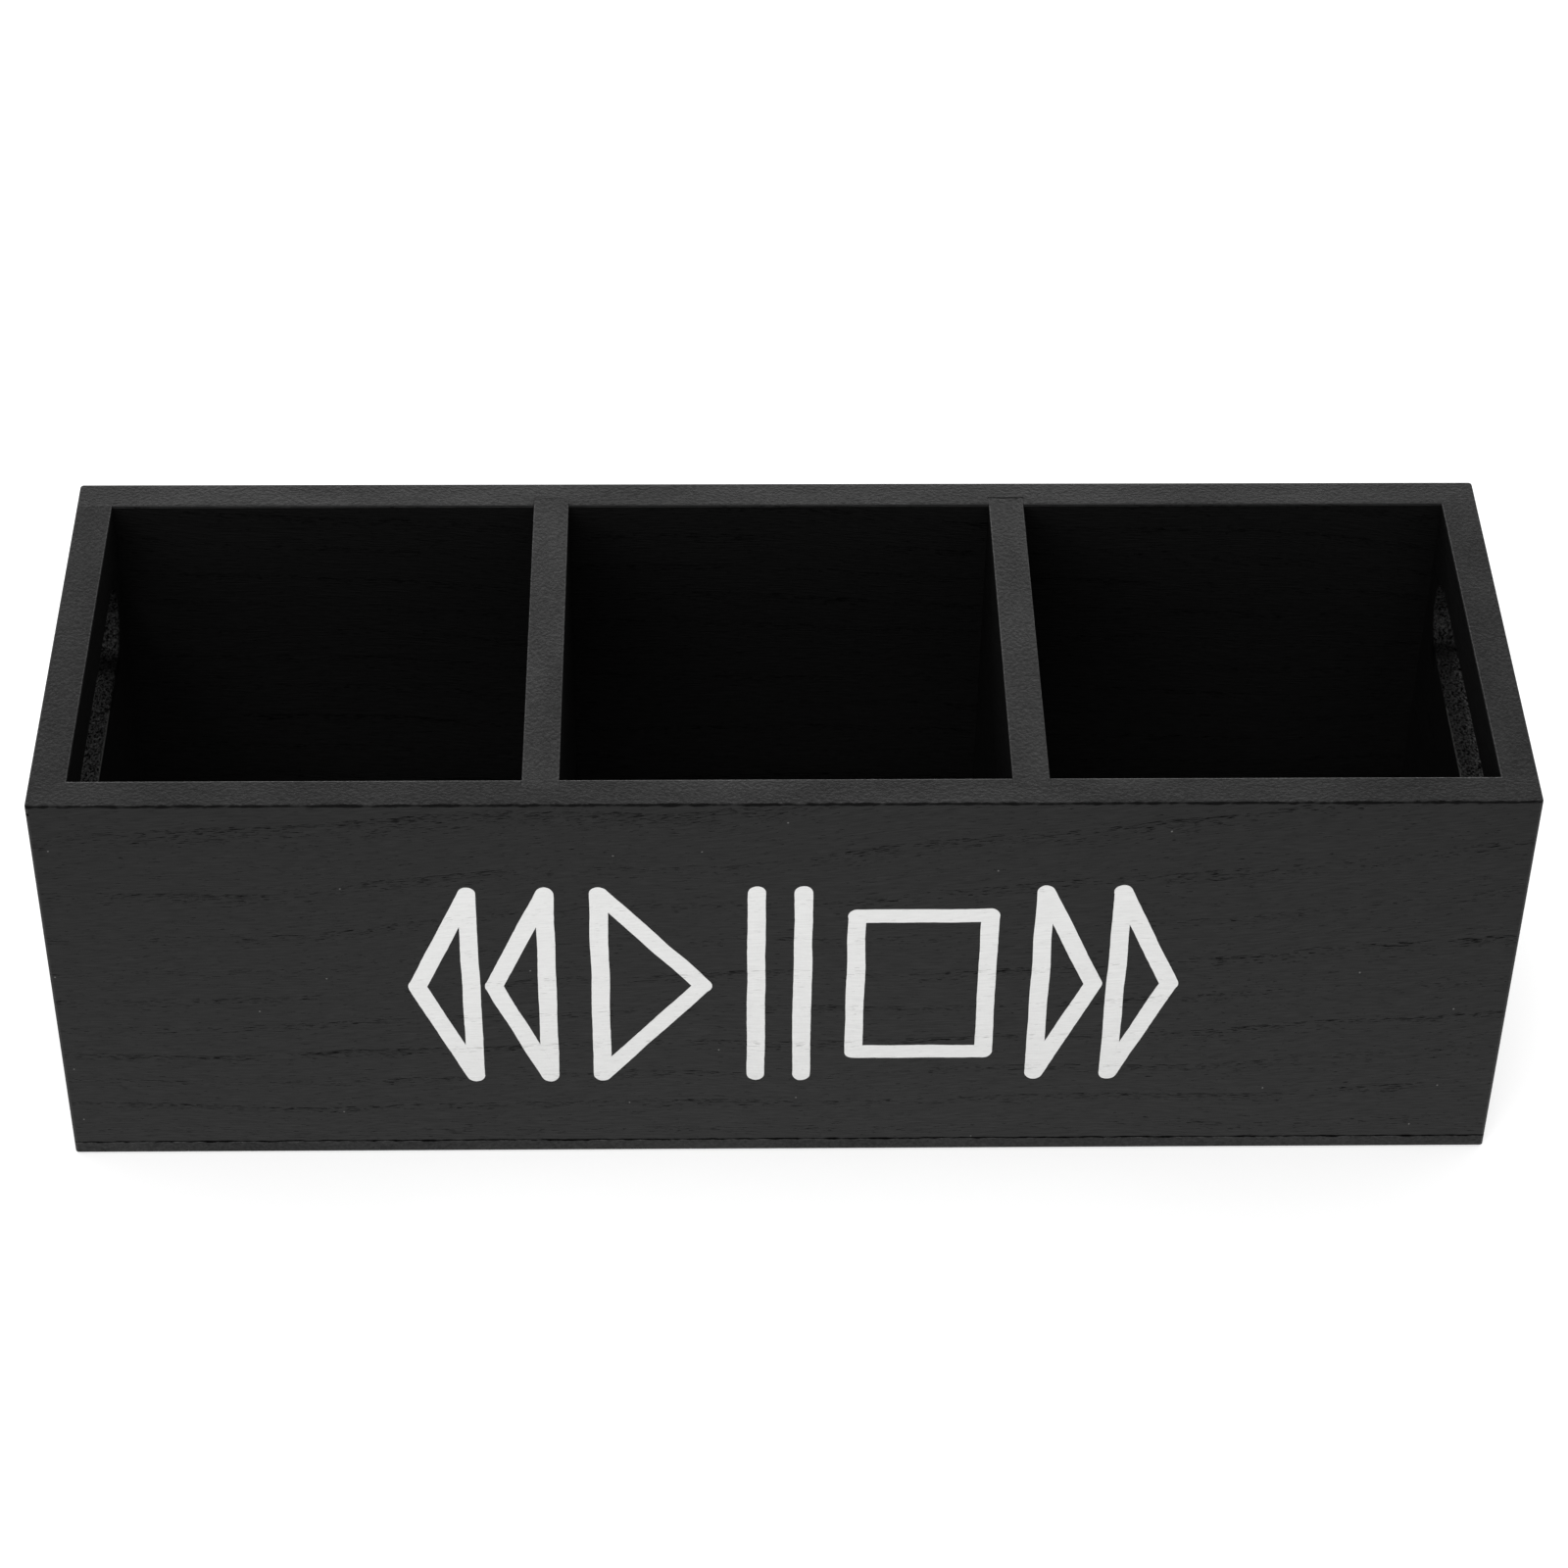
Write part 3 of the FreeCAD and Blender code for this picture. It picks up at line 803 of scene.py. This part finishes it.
@dataclass
class MarkRow:
    """The row of plain player signs, painted by hand on the front board.

    All sizes are in millimetres, and the round ends take a share of the stroke's width.
    """

    middle: Pair = (2.0, 49.4)
    row_length: float = 158.0
    height: float = 52.0
    stop_height: float = 39.0
    stop_width: float = 27.0
    play_width: float = 21.0
    seek_width: float = 11.0
    seek_gap: float = 4.6
    pause_gap: float = 9.5
    stroke_width: float = 3.7
    end_share: float = 0.495
    end_steps: int = 7
    film: float = 0.05
    overlap: float = 0.012
    wobble: float = 0.2
    wobble_length: float = 9.0
    ragged: float = 0.06
    ragged_length: float = 1.1
    seed: int = 1

    def triangle(self, x: float, width: float) -> list[Stroke]:
        """Draws a triangle that points along its width, which may be negative.

        Args:
            x: where its upright side stands.
            width: how far its point reaches from there.

        Returns:
            Its strokes.
        """
        half = self.height / 2
        return path((x, -half), (x, half), (x + width, 0), closed=True)

    def signs(self) -> dict[str, list[Stroke]]:
        """Draws each sign about its own middle.

        Returns:
            The strokes of each sign, by the name of its piece.
        """
        half = self.height / 2
        near = self.seek_gap / 2
        far = near + self.seek_width
        bar = self.pause_gap / 2
        side = self.stop_width / 2
        rise = self.stop_height / 2
        square = [(-side, -rise), (-side, rise), (side, rise), (side, -rise)]
        return {
            "rewind_mark": self.triangle(-near, -self.seek_width)
            + self.triangle(far, -self.seek_width),
            "play_mark": self.triangle(-self.play_width / 2, self.play_width),
            "pause_mark": path((-bar, -half), (-bar, half)) + path((bar, -half), (bar, half)),
            "stop_mark": path(*square, closed=True),
            "forward_mark": self.triangle(-far, self.seek_width)
            + self.triangle(near, self.seek_width),
        }

    def extent(self, strokes: list[Stroke]) -> Pair:
        """Measures a sign with its paint.

        Args:
            strokes: the sign's strokes.

        Returns:
            Where it starts and ends along the row.
        """
        ends = [point[0] for stroke in strokes for point in (stroke.start, stroke.end)]
        return min(ends) - self.stroke_width / 2, max(ends) + self.stroke_width / 2

    def add_stroke(self, bm: bmesh.types.BMesh, stroke: Stroke, level: int) -> None:
        """Adds a stroke as a thin closed film with round ends and slightly uneven sides.

        Args:
            bm: the mesh of the sign, flat in X and Y, with the film's thickness in Z.
            stroke: where it runs.
            level: how many strokes it lies over.
        """
        start, end = Vector(stroke.start), Vector(stroke.end)
        run = end - start
        before = set(bm.faces)
        corners = bmesh.ops.create_grid(bm, x_segments=1, y_segments=1, size=0.5)["verts"]
        reach = run.length + self.stroke_width
        bmesh.ops.scale(bm, vec=(reach, self.stroke_width, 1), verts=corners)
        bmesh.ops.bevel(
            bm,
            geom=corners,
            offset=self.stroke_width * self.end_share,
            offset_type="OFFSET",
            segments=self.end_steps,
            profile=0.5,
            affect="VERTICES",
            material=-1,
        )
        face = next(item for item in bm.faces if item not in before)
        sides = [edge for edge in face.edges if edge.calc_length() > self.stroke_width]
        cuts = round(run.length / self.ragged_length)
        bmesh.ops.bisect_edges(bm, edges=sides, cuts=cuts)
        turn = Matrix.Rotation(math.atan2(run.y, run.x), 4, "Z")
        bmesh.ops.rotate(bm, matrix=turn, verts=face.verts)
        bmesh.ops.translate(bm, vec=((start + end) / 2).to_3d(), verts=face.verts)
        for vert in face.verts:
            slow = noise.noise_vector(vert.co / self.wobble_length + Vector((0, 0, level)))
            quick = noise.noise_vector(vert.co / self.ragged_length)
            shift = slow * self.wobble + quick * self.ragged
            vert.co += Vector((shift.x, shift.y, 0))
        made = bmesh.ops.extrude_face_region(bm, geom=[face])
        lifted = [item for item in made["geom"] if isinstance(item, bmesh.types.BMVert)]
        film = self.film + level * self.overlap
        bmesh.ops.translate(bm, vec=(0, 0, film), verts=lifted)

    def build(self, paint: Material) -> None:
        """Builds the signs in a row on the front board.

        Args:
            paint: the white paint.
        """
        noise.seed_set(self.seed)
        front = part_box("front_board")[0].y
        upright = Matrix.Rotation(math.radians(90), 4, "X")
        signs = self.signs()
        extents = {name: self.extent(strokes) for name, strokes in signs.items()}
        painted = sum(high - low for low, high in extents.values())
        gap = (self.row_length - painted) / (len(signs) - 1)
        x = self.middle[0] - self.row_length / 2
        for name, strokes in signs.items():
            low, high = extents[name]
            bm = bmesh.new()
            for level, stroke in enumerate(strokes):
                self.add_stroke(bm, stroke, level)
            bmesh.ops.recalc_face_normals(bm, faces=bm.faces)
            bmesh.ops.translate(bm, vec=(x - low, self.middle[1], 0), verts=bm.verts)
            bmesh.ops.scale(bm, vec=(MM, MM, MM), verts=bm.verts)
            bmesh.ops.transform(bm, matrix=upright, verts=bm.verts)
            bmesh.ops.translate(bm, vec=(0, front, 0), verts=bm.verts)
            add_piece(name, bm, paint)
            x += high - low + gap


def add_piece(name: str, bm: bmesh.types.BMesh, material: Material) -> None:
    """Adds a piece of the holder, which rides on the box.

    Args:
        name: the piece's name.
        bm: its mesh in place, which is used up.
        material: its finish.
    """
    piece = add_object(name, bm)
    dress(piece, material)
    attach(piece, BODY)


@dataclass(frozen=True)
class HandSlot:
    """The floor of the hand slot in an end board, and how its paint differs.

    Its outer side gets a painted highlight as extra sheen, its inner arris a pale painted
    highlight, and its far end a dark bend of painted shade, which lies an inset away from the
    inner face.
    """

    node: str
    bend_y: float
    bend_half_length: float
    # The sheen that the painted highlight adds on the floor's outer side.
    gloss: float
    floor: float = 69.5 * MM
    # The dark bend at the floor's far end is painted shade.
    bend_inset: float = 4.0 * MM
    bend_half: Pair = (5.0 * MM, 0.5 * MM)
    bend_soft: float = 3.5 * MM
    bend_depth: float = 0.75
    arris_y: float = -10.0 * MM
    arris_half: Triple = (0.22 * MM, 22.0 * MM, 0.3 * MM)
    arris_depth: float = 0.5
    gloss_y: float = -5.0 * MM
    gloss_half: Triple = (1.5 * MM, 33.0 * MM, 0.5 * MM)
    gloss_soft: float = 3.0 * MM

    def faces(self) -> Pair:
        """Gives the places along X of the board's inner and outer face."""
        return tuple(sorted((corner.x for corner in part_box(self.node)), key=abs))

    def painted_arris_highlight(self) -> Zone:
        """Finds the lower inner arris, which gets a pale painted highlight.

        Returns:
            The arris, with how pale it is.
        """
        inner, _ = self.faces()
        middle = (inner, self.arris_y, self.floor)
        return Zone(middle, self.arris_half, depth=self.arris_depth)

    def bend(self) -> Zone:
        """Finds the dark bend at the far end of the floor, a band of painted shade.

        Returns:
            The bend, with how dark it is.
        """
        inner, _ = self.faces()
        middle = (inner + math.copysign(self.bend_inset, inner), self.bend_y, self.floor)
        half = (self.bend_half[0], self.bend_half_length, self.bend_half[1])
        return Zone(middle, half, soft=self.bend_soft, depth=self.bend_depth)

    def outer_painted_highlight(self) -> Zone:
        """Finds the outer side of the floor, which gets a painted highlight as extra sheen.

        Returns:
            The side, with what it adds to the sheen.
        """
        _, outer = self.faces()
        middle = (outer, self.gloss_y, self.floor)
        return Zone(middle, self.gloss_half, soft=self.gloss_soft, depth=self.gloss)


@dataclass
class Box:
    """The painted boards and the brads of the construction model, and how each is finished.

    A skin is how far the outer finish reaches round an arris, a half is a half size of a line
    or block, and a soft size is the margin over which it fades. A depth says how dark a line
    is, and a sheen what a block adds to the paint's. They follow the photographed holder.
    """

    front_grain: OpenGrain = OpenGrain(Lie.LONG_UPRIGHT)
    left_slot: HandSlot = HandSlot("left_end_board", 27.0 * MM, 1.2 * MM, 0.06)
    right_slot: HandSlot = HandSlot("right_end_board", 31.0 * MM, 0.3 * MM, 0.3)
    skin: float = 0.4 * MM
    rim_skin: float = 0.6 * MM
    # Half width of the foot joint's painted shade, also used for the foot arrises and the housing
    # line.
    joint_half: float = 0.14 * MM
    # How far up the painted contact shade of the foot arrises reaches.
    foot_half: float = 0.42 * MM
    housing_depth: float = 0.7
    # The ragged dark line of painted shade along the front's top arris.
    arris_half: Triple = (ANYWHERE, 0.162 * MM, 0.27 * MM)
    arris_ragged: float = 0.216 * MM
    arris_soft: float = 0.3 * MM
    arris_depth: float = 0.85
    # A painted highlight along the front's inner top arris, as extra sheen.
    inner_arris_highlight_half: Pair = (0.25 * MM, 0.5 * MM)
    inner_arris_highlight_sheen: float = 0.6
    nick_in: float = 0.4 * MM
    nick_down: float = 2.2 * MM
    nick_half: Triple = (0.25 * MM, 0.3 * MM, 0.2 * MM)
    # Painted reflection: extra sheen on the front towards the foot and towards its middle.
    foot_sheen: float = 0.1
    centre_half: float = 20.0 * MM
    centre_soft: float = 120.0 * MM
    centre_sheen: float = 0.045
    # Painted shade towards the back board's right end, as less sheen.
    shade_half: float = 10.0 * MM
    shade_soft: float = 90.0 * MM
    shade_sheen: float = -0.045

    def inside(self) -> Zone:
        """Finds the space under the rim and behind the outer faces.

        Returns:
            The space, as one block.
        """
        low, high = (Vector(corner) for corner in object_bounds())
        low += Vector((self.skin, self.skin, self.skin))
        high -= Vector((self.skin, self.skin, self.rim_skin))
        return Zone(tuple((low + high) / 2), tuple((high - low) / 2))

    def foot_joint(self) -> Zone:
        """Finds the joint round the foot, darkened with painted shade in its crack."""
        half = (ANYWHERE, ANYWHERE, self.joint_half)
        return Zone((0, 0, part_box("bottom_board")[1].z), half, ragged=self.joint_half)

    def foot_arrises(self) -> tuple[Zone, ...]:
        """Finds the four arrises on the table, darkened with painted contact shade.

        Returns:
            The two long arrises and the two at the ends.
        """
        low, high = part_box("bottom_board")
        reach = self.joint_half
        long_half = (ANYWHERE, reach, self.foot_half)
        end_half = (reach, ANYWHERE, self.foot_half)
        return (
            *(Zone((0, y, low.z), long_half, ragged=reach) for y in (low.y, high.y)),
            *(Zone((x, 0, low.z), end_half, ragged=reach) for x in (low.x, high.x)),
        )

    def housing_line(self) -> Zone:
        """Finds the end of the right divider's housing, which shows on the rear rim.

        Returns:
            The line, with how dark it is.
        """
        low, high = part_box("right_divider")
        middle = ((low.x + high.x) / 2, high.y, 0)
        half = ((high.x - low.x) / 2, self.joint_half, ANYWHERE)
        return Zone(middle, half, ragged=self.joint_half, depth=self.housing_depth)

    def front_arris(self) -> Zone:
        """Finds the front's top arris, which gets a ragged dark line of painted shade.

        Returns:
            The ragged line, with how dark it is.
        """
        low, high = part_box("front_board")
        middle = (0, low.y, high.z)
        ragged, soft, depth = self.arris_ragged, self.arris_soft, self.arris_depth
        return Zone(middle, self.arris_half, ragged, soft, depth)

    def front_inner_arris(self) -> Zone:
        """Finds the front's inner top arris, which gets a painted highlight as extra sheen.

        Returns:
            The arris, with what it adds to the sheen.
        """
        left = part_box("left_end_board")[1].x
        right, y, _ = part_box("right_end_board")[0]
        middle = ((left + right) / 2, y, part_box("front_board")[1].z)
        half = ((right - left) / 2, *self.inner_arris_highlight_half)
        return Zone(middle, half, depth=self.inner_arris_highlight_sheen)

    def front_painted_sheen(self) -> tuple[Zone, Zone]:
        """Finds the painted sheen that brightens the front towards the foot and its middle.

        Returns:
            The block of the foot and the block of the middle.
        """
        low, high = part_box("front_board")
        foot_half = (ANYWHERE, self.skin, 0)
        centre_half = (self.centre_half, ANYWHERE, ANYWHERE)
        # Painted reflection, brighter towards the foot and towards the middle.
        return (
            Zone((0, low.y, 0), foot_half, soft=high.z, depth=self.foot_sheen),
            Zone((0, 0, 0), centre_half, soft=self.centre_soft, depth=self.centre_sheen),
        )

    def front_nick(self) -> Zone:
        """Finds the small nick at the front's upper left corner."""
        low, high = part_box("front_board")
        return Zone((low.x + self.nick_in, low.y, high.z - self.nick_down), self.nick_half)

    def back_shade(self) -> Zone:
        """Finds the back board's right end, where painted shade takes from the sheen.

        Returns:
            The end, with what it takes from the sheen.
        """
        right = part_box("right_end_board")[1].x
        half = (self.shade_half, ANYWHERE, ANYWHERE)
        return Zone((right, 0, 0), half, soft=self.shade_soft, depth=self.shade_sheen)

    def board_paints(self) -> dict[str, BlackPaint]:
        """Chooses each board's paint, with grain of its own.

        Returns:
            The paints, by the board's node.
        """
        long, cross = Lie.LONG_UPRIGHT, Lie.CROSS_UPRIGHT
        inside = self.inside()
        joint, housing = self.foot_joint(), self.housing_line()
        # A grain is told by where its pith lies across and through, its seed, and its fan.
        paints = {
            "front_board": BlackPaint(
                inside,
                self.front_grain,
                dark_lines=(self.front_arris(), joint),
                dark_spots=(self.front_nick(),),
                painted_sheen=(self.front_inner_arris(), *self.front_painted_sheen()),
                edge_sheen=0.195,
            ),
            "back_board": BlackPaint(
                inside,
                OpenGrain(long, 150, -20, 410, -0.0008),
                dark_lines=(joint, housing),
                painted_sheen=(self.back_shade(),),
                edge_sheen=0.26,
            ),
        }
        ends = (
            (self.left_slot, OpenGrain(cross, -30, -95, 700, 0.0012), 0.174),
            (self.right_slot, OpenGrain(cross, 140, 90, 990, -0.001), 0.175),
        )
        for slot, grain, edge_sheen in ends:
            paints[slot.node] = BlackPaint(
                inside,
                grain,
                dark_lines=(joint,),
                dark_spots=(slot.bend(),),
                painted_sheen=(slot.outer_painted_highlight(),),
                painted_highlights=(slot.painted_arris_highlight(),),
                edge_sheen=edge_sheen,
            )
        paints["left_divider"] = BlackPaint(
            inside, OpenGrain(cross, 120, -120, 1300, 0.0006), edge_sheen=0.25
        )
        paints["right_divider"] = BlackPaint(
            inside, OpenGrain(cross, -40, 130, 1600, -0.0006), (housing,), edge_sheen=0.24
        )
        paints["bottom_board"] = BlackPaint(
            inside,
            OpenGrain(Lie.FLAT, 20, -80, 1900, 0.0004),
            dark_lines=(joint, *self.foot_arrises()),
            edge_colour="#2A2A2A",
            edge_contrast=1.25,
        )
        return paints

    def build(self) -> None:
        """Dresses every board and brad."""
        for node, paint in self.board_paints().items():
            dress(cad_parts[node], paint.material(f"black paint on {node}"))
        wire = DrawnWire().material()
        for node in ("bottom_brads", "corner_brads"):
            dress(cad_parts[node], wire)


@dataclass(frozen=True)
class SoftBox:
    """A studio lamp behind a diffuser, given by its place, its size and its watts."""

    name: str
    place: Triple
    width: float
    height: float
    power: float
    aim: Triple = (0, 0, 0.05)

    def build(self) -> None:
        """Hangs the lamp and turns it to the holder."""
        lamp = bpy.data.lights.new(self.name, "AREA")
        lamp.shape = "RECTANGLE"
        lamp.size, lamp.size_y = self.width, self.height
        lamp.energy = self.power
        place = Vector(self.place)
        turn = (Vector(self.aim) - place).to_track_quat("-Z", "Y").to_matrix().to_4x4()
        add_object(self.name, lamp).matrix_world = Matrix.Translation(place) @ turn


def white_seen(tree: NodeTree, rays: Node) -> Node:
    """Finds the light paths that see white: the camera's, mirrored and let through.

    Args:
        tree: the node tree of the floor or the world.
        rays: its Light Path node.

    Returns:
        1 for such a path.
    """
    eye, mirrored, through = (rays.outputs[f"Is {kind} Ray"] for kind in RAYS_TO_WHITE)
    seen = add_node(tree, "Math", eye, mirrored, operation="MAXIMUM")
    return add_node(tree, "Math", seen, through, operation="MAXIMUM")


@dataclass
class Studio:
    """A plain white table, soft light, and a camera at the photograph's angle."""

    floor_side: float = 12.0
    floor_colour: str = "#E8E8E8"
    floor_roughness: float = 0.9
    floor_specular: float = 0.1
    floor_lift: float = 0.5
    floor_gap: float = 0.05 * MM
    clear_reach: float = 1.0 * MM
    world_light: float = 0.7
    lamps: tuple[SoftBox, ...] = (
        SoftBox("back_softbox", (-0.1, 1.2, 0.6), width=1.6, height=0.5, power=9.0),
        SoftBox("front_softbox", (-0.4, -1.0, 0.7), width=0.8, height=0.8, power=5.0),
    )
    camera_place: Triple = (-0.01701, -0.65842, 0.65027)
    camera_pitch: float = 41.9326
    camera_yaw: float = -1.5473
    camera_roll: float = 0.8392
    camera_near: float = 0.01
    lens: float = 95.428
    sensor: float = 36.0

    def floor_material(self) -> Material:
        """Makes white paper that shows pure white in the holder's gloss.

        It is clear from below, and for light within a short reach, so the underside shows.

        Returns:
            The material.
        """
        material, tree = new_material("white paper sweep")
        rays = add_node(tree, "LightPath")
        seen = white_seen(tree, rays)
        lift = add_node(tree, "Math", seen, self.floor_lift, operation="MULTIPLY")
        paper = add_node(
            tree,
            "BsdfPrincipled",
            sockets={
                "Base Color": linear(self.floor_colour),
                "Roughness": self.floor_roughness,
                "Specular IOR Level": self.floor_specular,
                "Emission Color": linear(WHITE),
                "Emission Strength": lift,
            },
        )
        white = add_node(tree, "Emission", linear(WHITE), 1.0)
        mirrored = rays.outputs["Is Glossy Ray"]
        shown = add_node(tree, "MixShader", mirrored, paper, white)
        below = add_node(tree, "NewGeometry").outputs["Backfacing"]
        length = rays.outputs["Ray Length"]
        near = add_node(tree, "Math", length, self.clear_reach, operation="LESS_THAN")
        open_share = add_node(tree, "Math", below, near, operation="MAXIMUM")
        clear = add_node(tree, "BsdfTransparent")
        one_sided = add_node(tree, "MixShader", open_share, shown, clear)
        add_node(tree, "OutputMaterial", one_sided)
        return material

    def build_floor(self) -> None:
        """Lays a white floor that keeps the holder's shadow."""
        bm = bmesh.new()
        bmesh.ops.create_grid(bm, x_segments=1, y_segments=1, size=self.floor_side / 2)
        bmesh.ops.translate(bm, vec=(0, 0, -self.floor_gap), verts=bm.verts)
        floor = add_object("floor", bm)
        dress(floor, self.floor_material())
        floor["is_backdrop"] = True

    def build_world(self) -> None:
        """Lights the room evenly and shows it white to the camera."""
        world = bpy.data.worlds.new("studio")
        world.use_nodes = True
        tree = world.node_tree
        tree.nodes.clear()
        seen = white_seen(tree, add_node(tree, "LightPath"))
        strength = add_node(tree, "MapRange", seen, 0.0, 1.0, self.world_light, 1.0)
        background = add_node(tree, "Background", linear(WHITE), strength)
        add_node(tree, "OutputWorld", background)
        bpy.context.scene.world = world

    def build_camera(self) -> None:
        """Sets the camera where the photograph was taken."""
        data = bpy.data.cameras.new("camera")
        data.lens = self.lens
        data.sensor_width = self.sensor
        data.clip_start = self.camera_near
        place = Matrix.Translation(Vector(self.camera_place))
        turns = ((self.camera_yaw, "Z"), (90 - self.camera_pitch, "X"), (self.camera_roll, "Z"))
        for angle, axis in turns:
            place @= Matrix.Rotation(math.radians(angle), 4, axis)
        camera = add_object("camera", data)
        camera.matrix_world = place
        bpy.context.scene.camera = camera

    def build(self) -> None:
        """Builds the floor, the light and the camera."""
        self.build_floor()
        self.build_world()
        for lamp in self.lamps:
            lamp.build()
        self.build_camera()
        bpy.context.scene.view_settings.view_transform = "Standard"


def main() -> None:
    """Builds the classes in order."""
    logging.basicConfig(level=logging.INFO, format="%(name)s: %(message)s")
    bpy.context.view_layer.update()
    box = Box()
    box.build()
    MarkRow().build(WhiteMarkPaint(box.front_grain).material())
    Studio().build()


if __name__ == "__main__":
    main()
